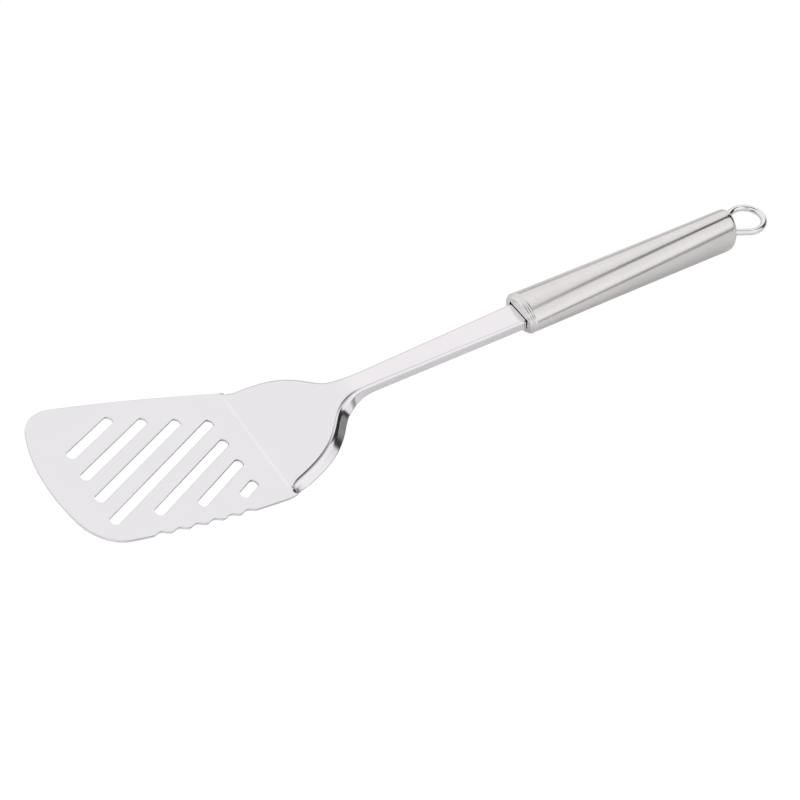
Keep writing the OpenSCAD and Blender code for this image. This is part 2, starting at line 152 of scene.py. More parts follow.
def near_edge_y(x):
    """The serrated side's curve: a large circle, rounded into the tab by a small one."""
    blade = near_c[1] - np.sqrt(NEAR_EDGE_R**2 - (x - near_c[0])**2)
    from_tab = np.clip(x - tab_c[0], -TAB_ROUND_R, TAB_ROUND_R)
    tab = tab_c[1] - np.sqrt(TAB_ROUND_R**2 - from_tab**2)
    return np.where(x < NEAR_TURN[0], blade, tab)


def bite(x):
    """Depth of the serration at x: a power of a sine over each scallop, zero beyond them."""
    u = (x + SCALLOP_START + SCALLOPS * SCALLOP_PITCH) / SCALLOP_PITCH
    wave = np.sin(np.pi * (u - np.floor(u))**BITE_LEAD)
    return np.where((u > 0) & (u < SCALLOPS), SCALLOP_DEPTH * wave**BITE_ROUND, 0)


def blade_path():
    """The blade's free edge from the far end of the crease round the front to the near end."""
    join_far = heading(far_c, far_corner_c)
    join_front = heading(front_c, far_corner_c) % (2 * np.pi)
    join_near = heading(front_c, near_corner_c) % (2 * np.pi)
    far_start = np.arccos(-far_c[0] / FAR_EDGE_R)
    end_near = heading(near_c, near_corner_c) % (2 * np.pi)
    serrated_from = near_corner_c[0] + NEAR_CORNER_R * np.cos(end_near)
    near_x = np.linspace(serrated_from, 0, SERRATED_POINTS)[1:]
    near = np.stack([near_x, near_edge_y(near_x) + bite(near_x)], axis=-1)
    return np.concatenate([
        arc(far_c, FAR_EDGE_R, far_start, join_far, EDGE_STEPS)[:-1],
        arc(far_corner_c, FAR_CORNER_R, join_far, join_front, CORNER_STEPS)[:-1],
        arc(front_c, FRONT_R, join_front, join_near, EDGE_STEPS)[:-1],
        arc(near_corner_c, NEAR_CORNER_R, join_near, end_near, CORNER_STEPS),
        near,
    ])


def slot_paths():
    """Outline of each slot: two half circles joined by straight sides, as closed loops."""
    slope, step = np.tan(SLOT_ANGLE), SLOT_PITCH / np.cos(SLOT_ANGLE)
    for k in range(SLOTS):
        y0 = SLOT_FIRST_Y - k * step
        front = max(-SLOT_FRONT, (SLOT_NEAR_Y - y0) / (slope - SLOT_NEAR_SLOPE))
        rear = min(-SLOT_REAR, (SLOT_FAR_Y - y0) / (slope - SLOT_FAR_SLOPE))
        ends = [np.array([x, y0 + x * slope]) for x in (rear, front)]
        caps = [arc(c, SLOT_W / 2, SLOT_ANGLE + t, SLOT_ANGLE + t + np.pi, SLOT_END_STEPS)
                for c, t in zip(ends, (-np.pi / 2, np.pi / 2))]
        sides = [np.linspace(a, b, SLOT_SIDE_POINTS)[1:-1]
                 for a, b in ((caps[0][-1], caps[1][0]), (caps[1][-1], caps[0][0]))]
        yield np.concatenate([caps[0], sides[0], caps[1], sides[1]])


def edge_section():
    """Section of a rounded sheet edge as [inset, depth]: a flat lead-in, then a quarter round
    at the top, the cut face, and the same again below."""
    a = np.linspace(0, np.pi / 2, ROUND_POINTS)
    top = np.stack([EDGE_ROUND * (1 - np.sin(a)), EDGE_ROUND * (1 - np.cos(a))], axis=-1)
    top = np.concatenate([[[EDGE_ROUND + EDGE_LEAD_IN, 0]], top])
    return np.concatenate([top, top[::-1] * [1, -1] + [0, SHEET]])


def path_normals(path, closed):
    """Unit normals on the right of a path, from the points on either side of each one."""
    if closed:
        along = np.roll(path, -1, 0) - np.roll(path, 1, 0)
    else:
        along = np.gradient(path, axis=0)
    along /= np.linalg.norm(along, axis=1, keepdims=True)
    return np.stack([along[:, 1], -along[:, 0]], axis=-1)


def grid_faces(rows, cols, closed_rows=False, closed_cols=False):
    """Quads between the points of a rows by cols grid, which are numbered row by row."""
    i = np.arange(rows if closed_rows else rows - 1)
    j = np.arange(cols if closed_cols else cols - 1)
    i, j = (m.ravel() for m in np.meshgrid(i, j, indexing="ij"))
    i2, j2 = (i + 1) % rows, (j + 1) % cols
    return np.stack([i * cols + j, i * cols + j2, i2 * cols + j2, i2 * cols + j], axis=-1)


def make_piece(name, patches):
    """Joins patches of points, faces and, where they have them, points in the unrolled sheet
    into one mesh on the root body, and welds the points that coincide. Lengths are in
    millimetres in the resting frame. Triangles become quads with a repeated end, and the
    repeats are dropped again after the welding."""
    points = [np.reshape(patch[0], (-1, 3)) for patch in patches]
    counts = np.cumsum([0] + [len(p) for p in points])
    faces = np.concatenate([
        patch[1][:, [0, 1, 2, -1]] + count for patch, count in zip(patches, counts)])
    points = np.concatenate(points)
    keys = np.round(points / SAME_POINT).astype(np.int64)
    _, first, where = np.unique(keys, axis=0, return_index=True, return_inverse=True)
    faces = [[v for k, v in enumerate(f) if v != f[k - 1]] for f in where.ravel()[faces].tolist()]
    mesh = bpy.data.meshes.new(name)
    mesh.from_pydata((points[first] / 1000).tolist(), [], [f for f in faces if len(f) > 2])
    mesh.polygons.foreach_set("use_smooth", np.ones(len(mesh.polygons), bool))
    mesh.validate()
    if len(patches[0]) > 2:
        laid = np.concatenate([patch[2][..., :2].reshape(-1, 2) for patch in patches])
        corner = np.zeros(len(mesh.loops), int)
        mesh.loops.foreach_get("vertex_index", corner)
        layer = mesh.uv_layers.new(name="unrolled")
        layer.data.foreach_set("uv", (laid[first][corner] / 1000).ravel())
    piece = bpy.data.objects.new(name, mesh)
    bpy.context.scene.collection.objects.link(piece)
    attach(piece, "root")
    return piece


def flat_face(loops, height, up):
    """Triangles that fill a flat outline with convex holes, at one height. A triangle whose
    corners all lie on one hole's loop is inside that hole, and is left out."""
    owner = np.repeat(np.arange(len(loops)), [len(ring) for ring in loops])
    last = np.cumsum([len(ring) for ring in loops]) - 1
    ahead = np.arange(len(owner)) + 1
    ahead[last] = np.concatenate([[0], last[:-1] + 1])
    points = np.concatenate(loops)
    edges = np.column_stack([np.arange(len(owner)), ahead])
    triangles_inside, tolerance = 1, 1e-7
    faces = np.array(delaunay_2d_cdt(
        [Vector(p) for p in points], edges.tolist(), [], triangles_inside, tolerance)[2])
    hole = owner[faces]
    faces = faces[(hole[:, 0] == 0) | (np.ptp(hole, axis=1) > 0)]
    points = np.column_stack([points, np.full(len(points), height)])
    return points, faces if up else faces[:, ::-1]


# Ramp and shank: the middle line seen from the side, then the line where the flat face ends
CREASE_R, RAMP_ANGLE, RAMP_LEN = 5.0, np.radians(38.5), 40.0
NECK_R, SHANK_ANGLE, SHANK_LEN = 36.7, np.radians(25.8), 81.0
RAMP_HALF, NECK_HALF, TANG_HALF = 27.4, 3.4, 4.9
SHOULDER_PULL, SHOULDER_DROP, NECK_PULL, SHOULDER_END = 40.7, 4.7, 26.7, 51.7
TAB_LEN, TAB_BLEND, SLIT_W, SLIT_END = 3.7, 4.6, 0.3, 0.8
TANG_LEN = 14.0
# The fold starts at the slit, a little outside its line, and its skirt widens behind it
FOLD_HOOK, FOLD_HOOK_LEN, START_WIDTH, WIDEN_LEN = 1.3, 4.0, 2.1, 6.0
SWELL_R, SWELL_WIDTH, SWELL_FROM, SWELL_TO = 0.3, 0.1, 10.0, 26.0
SKIRT_R, SKIRT_WIDTH, SKIRT_TURN = 2.6, 3.6, np.radians(56)
FLANGE_R, FLANGE_WIDTH, FLANGE_TURN = 1.5, 2.9, np.radians(84)
FLANGE_FROM, FLANGE_TO = 40.0, 57.0
# Rows along the sheet, crowded towards the slit, and points across it in each row
TAB_ROWS, SHOULDER_ROWS, SHANK_ROWS, CROWDING, ROW_GAP = 20, 130, 60, 1.25, 0.01
FLAT_POINTS, BEND_POINTS, SKIRT_POINTS, BEND_SHARE = 14, 13, 7, 0.8

crease_end = CREASE_R * RAMP_ANGLE
ramp_end = crease_end + RAMP_LEN
neck_end = ramp_end + NECK_R * (RAMP_ANGLE - SHANK_ANGLE)
cap_at = neck_end + SHANK_LEN
tang_end = cap_at + TANG_LEN


def eased(u):
    """Goes smoothly from 0 to 1 as u does."""
    c = np.clip(u, 0, 1)
    return c * c * (3 - 2 * c)


def spine(s):
    """Top face of the sheet at a distance s behind the crease, as x, z and slope: the flat, the
    crease's arc, the straight ramp, the neck's arc and the straight shank, one after another."""
    crease = np.clip(s, 0, crease_end) / CREASE_R
    ramp = np.clip(s - crease_end, 0, RAMP_LEN)
    neck = RAMP_ANGLE - np.clip(s - ramp_end, 0, neck_end - ramp_end) / NECK_R
    rest = np.clip(s - neck_end, 0, None)
    x = (np.minimum(s, 0) + CREASE_R * np.sin(crease) + ramp * np.cos(RAMP_ANGLE)
         + NECK_R * (np.sin(RAMP_ANGLE) - np.sin(neck)) + rest * np.cos(SHANK_ANGLE))
    z = (CREASE_R * (1 - np.cos(crease)) + ramp * np.sin(RAMP_ANGLE)
         - NECK_R * (np.cos(RAMP_ANGLE) - np.cos(neck)) + rest * np.sin(SHANK_ANGLE))
    return x, z, crease + neck - RAMP_ANGLE


def flat_edge(t):
    """End of the flat top face at parameter t, with its outward normal, in the sheet's plane:
    a cubic curve over the shoulder for t from 0 to 1, a straight line beyond it, and near the
    slit a parabola in s that bends the fold outwards."""
    ctrl = np.array([[0, RAMP_HALF], [SHOULDER_PULL, RAMP_HALF - SHOULDER_DROP],
                     [NECK_PULL, NECK_HALF], [SHOULDER_END, NECK_HALF]])
    u = np.clip(t, 0, 1)[:, None]
    at = ((1 - u)**3 * ctrl[0] + 3 * u * (1 - u)**2 * ctrl[1]
          + 3 * u * u * (1 - u) * ctrl[2] + u**3 * ctrl[3])
    way = ((1 - u)**2 * (ctrl[1] - ctrl[0]) + 2 * u * (1 - u) * (ctrl[2] - ctrl[1])
           + u * u * (ctrl[3] - ctrl[2]))
    widening = (TANG_HALF - NECK_HALF) / (cap_at - SHOULDER_END)
    at = at + np.clip(t - 1, 0, None)[:, None] * [1, widening] * (tang_end - SHOULDER_END)
    near_slit = np.clip((at[:, 0] - TAB_LEN) / FOLD_HOOK_LEN, 0, 1)
    at[:, 1] += FOLD_HOOK * (1 - near_slit)**2
    out = np.stack([-way[:, 1], way[:, 0]], axis=-1) / np.linalg.norm(way, axis=1, keepdims=True)
    return at, out


def skirt(s):
    """How the sheet's side is turned down at s: its angle, bend radius and width below it."""
    run_in = 1 - (1 - np.clip((s - TAB_LEN) / WIDEN_LEN, 0, 1))**2
    share = eased((s - FLANGE_FROM) / (FLANGE_TO - FLANGE_FROM))
    swell = eased((s - SWELL_FROM) / (SWELL_TO - SWELL_FROM))
    width = START_WIDTH + (SKIRT_WIDTH - START_WIDTH) * run_in + SWELL_WIDTH * swell
    radius = SKIRT_R + SWELL_R * swell
    ends = ((SKIRT_TURN, FLANGE_TURN), (radius, FLANGE_R), (width, FLANGE_WIDTH))
    return [a * (1 - share) + b * share for a, b in ends]


def sheet_top(t, w, tab):
    """Top face at edge parameter t and distance w outwards from the flat's end: the flat for
    w < 0, then an arc that turns down, then a straight skirt, with w measured along the sheet.
    In a tab row w is measured across, and the sheet eases down to the blade's own plane."""
    at, out = flat_edge(t)
    turn, radius, _ = (v[:, None] for v in skirt(at[:, 0]))
    a = np.minimum(np.maximum(w, 0) / radius, turn)
    rest = np.maximum(w - radius * turn, 0)
    outward = np.minimum(w, 0) + radius * np.sin(a) + rest * np.cos(turn)
    down = radius * (1 - np.cos(a)) + rest * np.sin(turn)
    x, z, slope = spine(at[:, :1])
    held = z / np.cos(slope) * eased(w / TAB_BLEND)
    outward, down = np.where(tab, w, outward), np.where(tab, held, down)
    beside = np.maximum(outward, 0) * np.where(tab, 0, 1)
    x, z, slope = spine(at[:, :1] + out[:, :1] * beside)
    y = at[:, 1:] + np.where(tab, outward, out[:, 1:] * beside + np.minimum(outward, 0))
    return np.stack([x + down * np.sin(slope), y, z - down * np.cos(slope)], axis=-1)


def sheet_normal(t, w, tab):
    """Unit normal of the top face, from its differences along and across the sheet."""
    step = 1e-7
    along = sheet_top(t + step, w, tab) - sheet_top(t - step, w, tab)
    across = sheet_top(t, w + step, tab) - sheet_top(t, w - step, tab)
    n = np.cross(along, across)
    return n / np.linalg.norm(n, axis=-1, keepdims=True)


def channel_rows():
    """Stations along the sheet as edge parameters: the tab, the slit as a pair of rows, then the
    shoulder and the shank. It also gives how many of them lie in the tab."""
    t = np.linspace(0, 1, 400)
    s = flat_edge(t)[0][:, 0]
    slit = [TAB_LEN - SLIT_W / 2, TAB_LEN + SLIT_W / 2]
    tab = np.linspace(0, slit[0], TAB_ROWS)
    crowded = np.linspace(0, 1, SHOULDER_ROWS)**CROWDING
    shoulder = slit[1] + (SHOULDER_END - slit[1]) * crowded
    stations = np.concatenate([tab, np.array(slit) + [ROW_GAP, -ROW_GAP], shoulder])
    shank = 1 + np.linspace(0, 1, SHANK_ROWS)[1:]
    return np.concatenate([np.interp(stations, s, t), shank]), len(tab)


def channel_half(side):
    """One half of the pressed sheet behind the crease: for each row the points of the top face
    from the middle outwards, round the edge, and back along the underside."""
    t, tab_rows = channel_rows()
    at, out = flat_edge(t)
    turn, radius, width = skirt(at[:, 0])
    x_tab = np.minimum(at[:, 0], TAB_LEN)
    outline = np.abs(far_edge_y(x_tab) if side > 0 else near_edge_y(x_tab))
    rows = np.arange(len(t))
    reach = np.where(rows < tab_rows, outline - at[:, 1], radius * turn + width)
    in_slit = (rows == tab_rows) | (rows == tab_rows + 1)
    reach = np.where(in_slit, SLIT_END, reach)[:, None]
    section = edge_section()
    half = len(section) // 2
    lead = reach - section[0, 0]
    flat = -at[:, 1:] * np.linspace(1, 0, FLAT_POINTS)[None, :-1]
    arc_w = np.minimum(lead * BEND_SHARE, (radius * turn)[:, None])
    bend = arc_w * np.linspace(0, 1, BEND_POINTS)[None, :-1]
    straight = arc_w + (lead - arc_w) * np.linspace(0, 1, SKIRT_POINTS)[None, :-1]
    top_w = np.concatenate([flat, bend, straight, reach - section[:half, 0]], axis=1)
    w = np.concatenate([top_w, top_w[:, ::-1]], axis=1)
    depth = np.concatenate([np.zeros(top_w.shape[1] - half), section[:, 1],
                            np.full(top_w.shape[1] - half, SHEET)])
    tab = (rows < tab_rows)[:, None]
    points = sheet_top(t, w, tab) - sheet_normal(t, w, tab) * depth[None, :, None]
    points[..., 1] *= side
    laid = np.stack([at[:, :1] + 0 * w, side * (at[:, 1:] + w)], axis=-1)
    return points, laid


def rimmed(path, closed, section):
    """The rounded edge along a flat path: its section carried along it, inwards and down."""
    normals = path_normals(path, closed)
    if not closed:
        normals[0], normals[-1] = [0, 1], [0, -1]
    inset = section[None, :, :1] * (1 if closed else -1)
    skin = path[:, None] + normals[:, None] * inset
    down = np.broadcast_to(-section[None, :, 1:], skin.shape[:2] + (1,))
    return np.concatenate([skin, down], axis=2)


def blade_and_shank():
    """The whole pressing: plate faces with slots, the rounded edges, and the two channel halves,
    whose last row is closed from the top face to the underside."""
    section = edge_section()
    far, near = channel_half(1), channel_half(-1)
    half = far[0].shape[1] // 2
    inner = half - len(section) // 2
    edge = rimmed(blade_path(), False, section)
    patches = [(laid_down(edge), grid_faces(*edge.shape[:2]), edge)]
    top_loops, low_loops = [], []
    for loops, rim, turned in ((top_loops, edge[:, 0], 1), (low_loops, edge[:, -1], -1)):
        near_row, far_row = near[0][0, ::turned], far[0][0, ::turned]
        crease = np.concatenate([near_row[1:inner + 1][::-1], far_row[:inner]])
        loops.append(np.concatenate([rim, crease[1:]])[:, :2])
    for path in slot_paths():
        wall = rimmed(path, True, section)
        faces = grid_faces(*wall.shape[:2], closed_rows=True)[:, ::-1]
        patches.append((laid_down(wall), faces, wall))
        top_loops.append(wall[:, 0, :2])
        low_loops.append(wall[:, -1, :2])
    for loops, height, up in ((top_loops, 0.0, True), (low_loops, -SHEET, False)):
        points, faces = flat_face(loops, height, up)
        patches.append((laid_down(points), faces, points))
    for (skin, laid), flip in ((far, True), (near, False)):
        rows, cols = skin.shape[:2]
        i = np.arange(half - 1)
        end = np.stack([i, i + 1, cols - 2 - i, cols - 1 - i], axis=-1) + (rows - 1) * cols
        faces = np.concatenate([grid_faces(rows, cols), end])
        patches.append((laid_down(skin), faces[:, ::-1] if flip else faces, laid))
    return patches


def linked(tree, kind, inputs, **settings):
    """A new node: its inputs, by name or number, are sockets to link or plain values."""
    node = tree.nodes.new(kind)
    for key, value in settings.items():
        setattr(node, key, value)
    for key, value in inputs.items():
        if isinstance(value, bpy.types.NodeSocket):
            tree.links.new(value, node.inputs[key])
        else:
            node.inputs[key].default_value = value
    return node


def worked(tree, operation, a, b=0.0, c=0.0):
    """Result of a Math node on up to three values."""
    return linked(tree, "ShaderNodeMath", {0: a, 1: b, 2: c}, operation=operation).outputs[0]


def smoothed(tree, value, low, high):
    """Goes smoothly from 0 where value is low to 1 where it is high."""
    return linked(tree, "ShaderNodeMapRange", {"Value": value, "From Min": low, "From Max": high},
                  interpolation_type="SMOOTHSTEP").outputs[0]


def effect_group(name, inputs, output):
    """An empty shader group, with the sockets that give its inputs and take its one output."""
    tree = bpy.data.node_groups.new(name, "ShaderNodeTree")
    for title, kind, value in inputs:
        tree.interface.new_socket(title, in_out="INPUT", socket_type=kind).default_value = value
    tree.interface.new_socket(output, in_out="OUTPUT", socket_type="NodeSocketFloat")
    return tree, tree.nodes.new("NodeGroupInput").outputs, tree.nodes.new("NodeGroupOutput").inputs


# Brush marks: fine noise stretched along the way the belt ran, over broader bands of the same
BAND_SCALE, BRUSH_DETAIL = 0.17, 2.0
brush_lines, given, result = effect_group("brush_lines", [
    ("Vector", "NodeSocketVector", (0, 0, 0)),
    ("Lines per metre", "NodeSocketVector", (1000, 1000, 1000)),
    ("Bands", "NodeSocketFloat", 0.35),
], "Lines")
stretched = linked(brush_lines, "ShaderNodeVectorMath",
                   {0: given[0], 1: given[1]}, operation="MULTIPLY").outputs[0]
broader = linked(brush_lines, "ShaderNodeVectorMath",
                 {0: stretched, "Scale": BAND_SCALE}, operation="SCALE").outputs[0]
fine, broad = (linked(brush_lines, "ShaderNodeTexNoise", {
    "Vector": vector, "Scale": 1.0, "Detail": BRUSH_DETAIL}).outputs[0]
               for vector in (stretched, broader))
both = linked(brush_lines, "ShaderNodeMix", {"Factor": given[2], "A": fine, "B": broad})
brush_lines.links.new(both.outputs[0], result[0])

# Handling: soft clouds where fingers and cloth have dulled the polish
CLOUD_LOW, CLOUD_HIGH, CLOUD_DETAIL = 0.35, 0.68, 3.0
handling_clouds, given, result = effect_group("handling_clouds", [
    ("Vector", "NodeSocketVector", (0, 0, 0)),
    ("Size", "NodeSocketFloat", 0.02),
], "Clouds")
per_metre = worked(handling_clouds, "DIVIDE", 1.0, given[1])
cloud = linked(handling_clouds, "ShaderNodeTexNoise", {
    "Vector": given[0], "Scale": per_metre, "Detail": CLOUD_DETAIL}).outputs[0]
handling_clouds.links.new(smoothed(handling_clouds, cloud, CLOUD_LOW, CLOUD_HIGH), result[0])


def marked_metal(name, place, lines, bands, cloud_size, relief):
    """A metal whose brush marks stand up by relief millimetres. It gives the material and the
    marks and clouds, from which the caller makes its colour and its roughness."""
    material = bpy.data.materials.new(name)
    material.use_nodes = True
    tree = material.node_tree
    vector = place(tree)
    marks, clouds = (
        linked(tree, "ShaderNodeGroup", inputs, node_tree=group).outputs[0]
        for group, inputs in (
            (brush_lines, {"Vector": vector, "Lines per metre": lines, "Bands": bands}),
            (handling_clouds, {"Vector": vector, "Size": cloud_size}),
        ))
    bump = linked(tree, "ShaderNodeBump", {
        "Height": marks, "Distance": relief / 1000, "Strength": 1.0}).outputs[0]
    shader = tree.nodes["Principled BSDF"]
    shader.inputs["Metallic"].default_value = 1
    tree.links.new(bump, shader.inputs["Normal"])
    return material, marks, clouds


def coloured(material, factor, low, high, rough):
    """Mixes two colours by a factor, and links them and the roughness to the shader."""
    tree = material.node_tree
    colour = linked(tree, "ShaderNodeMix", {
        "Factor": factor, "A": (*low, 1), "B": (*high, 1)}, data_type="RGBA").outputs["Result"]
    shader = tree.nodes["Principled BSDF"]
    tree.links.new(colour, shader.inputs["Base Color"])
    tree.links.new(rough, shader.inputs["Roughness"])


MARKS_SHARE, CLOUDS_SHARE = 0.75, 0.25


def brushed_steel(name, place, dull, bright, roughness, spread, lines, bands, relief, cloud_size):
    """Bare steel: marks and clouds turn the colour from dull to bright, and the roughness goes
    as roughness + spread * (marks - 1/2) + spread / 2 * clouds."""
    material, marks, clouds = marked_metal(name, place, lines, bands, cloud_size, relief)
    tree = material.node_tree
    tone = worked(tree, "MULTIPLY_ADD", marks, MARKS_SHARE,
                  worked(tree, "MULTIPLY", clouds, CLOUDS_SHARE))
    rough = worked(tree, "MULTIPLY_ADD", marks, spread, roughness - spread / 2)
    rough = worked(tree, "MULTIPLY_ADD", clouds, spread / 2, rough)
    coloured(material, tone, dull, bright, rough)
    return material


def unrolled(tree):
    """The sheet's own coordinates: along it and across it, as before it was bent."""
    return linked(tree, "ShaderNodeTexCoord", {}).outputs["UV"]


pressing = make_piece("pressed_sheet", blade_and_shank())
pressing.data.materials.append(brushed_steel(
    "satin_sheet", unrolled, dull=(0.785, 0.768, 0.795), bright=(0.83, 0.814, 0.838),
    roughness=0.11, spread=0.05, lines=(70, 2400, 1), bands=0.4, relief=0.0004, cloud_size=0.03))
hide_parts("blade_and_shank")


# ---------------------------------------------------------------- handle tube
# A 19 mm round tube with a thin wall, pressed to a flat oval at the front and a tall oval at
# the rear, its rear edge curled in. It is brushed round and round after the pressing.
HANDLE_ANGLE = np.radians(24.35)
TANG_RISE, HANDLE_LEN, TUBE_WALL = 1.65, 111.1, 0.7
FRONT_OVAL, REAR_OVAL = np.array([10.8, 7.35]), np.array([8.1, 10.9])
REAR_ROUND, BEAD_LEN = 2.6, 1.0
OVAL_SIDES, TUBE_RINGS, CURL_RINGS, INSIDE_EVERY = 192, 90, 13, 6
tube_at, curl_at = BEAD_LEN, HANDLE_LEN - REAR_ROUND
handle_lean = HANDLE_ANGLE - REST_TILT

tang_x, tang_z, _ = spine(np.array([cap_at]))
handle_from = np.array([tang_x[0] + TANG_RISE * np.sin(HANDLE_ANGLE), 0,
                        tang_z[0] - TANG_RISE * np.cos(HANDLE_ANGLE)])


def in_handle(points):
    """Turns points from the handle's frame, x along it from the front cap, to the resting one."""
    x, y, z = np.moveaxis(np.asarray(points, float), -1, 0)
    c, s = np.cos(HANDLE_ANGLE), np.sin(HANDLE_ANGLE)
    return laid_down(np.stack([x * c - z * s, y, x * s + z * c], axis=-1) + handle_from)


def oval_skin(rings):
    """A skin through ellipses, each given as x, half width and half height."""
    a = np.linspace(0, 2 * np.pi, OVAL_SIDES, endpoint=False)
    x = rings[:, :1] * np.ones(OVAL_SIDES)
    return np.stack([x, rings[:, 1:2] * np.cos(a), rings[:, 2:3] * np.sin(a)], axis=-1)


def tube_oval(x, inset=0.0):
    """The tube's ellipse at x: its half axes change in a straight line from front to rear."""
    x = x[:, None]
    u = (x - tube_at) / (curl_at - tube_at)
    return np.concatenate([x, FRONT_OVAL * (1 - u) + REAR_OVAL * u - inset], axis=1)


def curl_ovals(depth):
    """The curled rear edge: a quarter round of the outer radius, less the depth into the wall."""
    a = np.linspace(0, np.pi / 2, CURL_RINGS)[1:, None]
    r = REAR_ROUND - depth
    halves = REAR_OVAL - depth - r * (1 - np.cos(a))
    return np.concatenate([curl_at + r * np.sin(a), halves], axis=1)


def tube_rings():
    """Outside from front to rear, round the rim, and back along the inside to the front."""
    x = np.linspace(tube_at, curl_at, TUBE_RINGS)
    outside = np.concatenate([tube_oval(x), curl_ovals(0)])
    inside = np.concatenate([tube_oval(x[::INSIDE_EVERY], TUBE_WALL), curl_ovals(TUBE_WALL)])
    return np.concatenate([outside, inside[::-1]])


def ringed(rings, closed=False, flip=False):
    """Patch of a skin through rings, in the resting frame."""
    skin = oval_skin(rings)
    faces = grid_faces(*skin.shape[:2], closed_rows=closed, closed_cols=True)
    return in_handle(skin), faces[:, ::-1] if flip else faces


def round_handle(tree):
    """Object coordinates turned so that x runs along the handle's axis, from the front cap."""
    start = Matrix.Rotation(handle_lean, 3, "Y") @ Vector(in_handle([0, 0, 0]) / 1000)
    return linked(tree, "ShaderNodeMapping", {
        "Vector": linked(tree, "ShaderNodeTexCoord", {}).outputs["Object"],
        "Rotation": (0, handle_lean, 0), "Location": -start}).outputs[0]


tube = make_piece("handle_tube_skin", [ringed(tube_rings(), closed=True)])
tube.data.materials.append(brushed_steel(
    "brushed_tube", round_handle, dull=(0.68, 0.655, 0.65), bright=(0.79, 0.765, 0.76),
    roughness=0.16, spread=0.06, lines=(2400, 50, 50), bands=0.5, relief=0.003, cloud_size=0.025))
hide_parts("handle_tube")


# ---------------------------------------------------------------- front cap
# A turned and polished steel collar that closes the front of the tube: two half-round beads,
# the front one smaller, with a fine groove between them, and a slot that the shank goes into.
BEAD_PROUD, GROOVE_DEPTH, GROOVE_AT = 0.15, 0.25, 0.2
NOSE_INSET, NOSE_ROUND, NOSE_LEN, NOSE_LIP = 0.6, 0.35, 0.35, 0.1
CAP_WALL, SPIGOT_LEN, SPIGOT_START = 1.2, 5.0, 0.01
SLOT_CLEARANCE, SLOT_HEADROOM, SLOT_CORNER, SLOT_EDGE_SCALE = 0.25, 0.55, 0.6, 0.5
BEAD_RINGS, NOSE_RINGS, SLOT_CORNER_STEPS = 17, 9, 8
cap_face_at = -BEAD_LEN
nose_at = cap_face_at + NOSE_LEN
tang_lean = SHANK_ANGLE - HANDLE_ANGLE
slot_half = (TANG_HALF + FLANGE_R * np.sin(FLANGE_TURN)
             + FLANGE_WIDTH * np.cos(FLANGE_TURN) + SLOT_CLEARANCE)
slot_drop = (FLANGE_R * (1 - np.cos(FLANGE_TURN))
             + FLANGE_WIDTH * np.sin(FLANGE_TURN) + SLOT_CLEARANCE)


def bead(start, end, inset):
    """A half-round bead from start to end, rising out of the groove on either side of it."""
    a = np.linspace(np.pi, 0, BEAD_RINGS)[:, None]
    x = start + (end - start) / 2 * (1 + np.cos(a))
    rise = (BEAD_PROUD + GROOVE_DEPTH) * np.sin(a) - GROOVE_DEPTH - inset
    return np.concatenate([x, FRONT_OVAL + rise], axis=1)


def nose_rings():
    """The rounded front: an ellipse's quarter from the front bead's groove into the flat face."""
    a = np.linspace(0, np.pi / 2, NOSE_RINGS)[:, None]
    groove = FRONT_OVAL - NOSE_INSET - GROOVE_DEPTH
    rings = np.concatenate([nose_at - (nose_at - cap_face_at) * np.sin(a),
                            groove - NOSE_ROUND * (1 - np.cos(a))], axis=1)
    flat = np.concatenate([[cap_face_at], rings[-1, 1:] - NOSE_LIP])
    return np.concatenate([rings, [flat]])[::-1]


def front_cap():
    """Nose, beads and spigot as a skin of ovals, the front face with its slot, whose edge is
    rounded as the sheet's is, and a flat back face round the slot."""
    back_at = cap_face_at + CAP_WALL
    spigot_end = tube_at + SPIGOT_LEN
    rings = np.concatenate([
        nose_rings(),
        bead(nose_at, GROOVE_AT, NOSE_INSET)[1:],
        bead(GROOVE_AT, tube_at, 0)[1:],
        tube_oval(np.array([tube_at + SPIGOT_START, spigot_end]), TUBE_WALL),
        tube_oval(np.array([spigot_end, back_at]), TUBE_WALL + CAP_WALL),
    ])
    lift = TANG_RISE + cap_face_at * np.tan(tang_lean)
    top, low, r = lift + SLOT_HEADROOM, lift - slot_drop, SLOT_CORNER
    quarter = np.pi / 2
    corners = [(slot_half - r, top - r), (r - slot_half, top - r),
               (r - slot_half, low + r), (slot_half - r, low + r)]
    hole = np.concatenate([arc(c, r, k * quarter, (k + 1) * quarter, SLOT_CORNER_STEPS)
                           for k, c in enumerate(corners)])
    rounded = edge_section()[:ROUND_POINTS + 1] * SLOT_EDGE_SCALE
    wall = rimmed(hole, True, np.concatenate([rounded, [[0, CAP_WALL]]]))
    (face, face_tris), (back, back_tris) = (
        flat_face([oval_skin(ring[None])[0, :, 1:], edge[:, :2]], 0.0, True)
        for ring, edge in ((rings[0], wall[:, 0]), (rings[-1], wall[:, -1])))

    def standing(points, x):
        """Stands points of a flat face up across the handle at x."""
        return in_handle(np.stack([x - points[..., 2], points[..., 0], points[..., 1]], axis=-1))

    return [
        ringed(rings),
        (standing(face, cap_face_at), face_tris[:, ::-1]),
        (standing(back, back_at), back_tris),
        (standing(wall, cap_face_at), grid_faces(*wall.shape[:2], closed_rows=True)),
    ]


def turned_about(tree):
    """The handle's coordinates with the distance from its axis added to x, so that marks run
    in circles on a flat end as they do round a side."""
    vector = round_handle(tree)
    parts = linked(tree, "ShaderNodeSeparateXYZ", {0: vector}).outputs
    square = worked(tree, "ADD", worked(tree, "MULTIPLY", parts[1], parts[1]),
                    worked(tree, "MULTIPLY", parts[2], parts[2]))
    x = worked(tree, "ADD", parts[0], worked(tree, "SQRT", square))
    return linked(tree, "ShaderNodeCombineXYZ", {0: x, 1: parts[1], 2: parts[2]}).outputs[0]


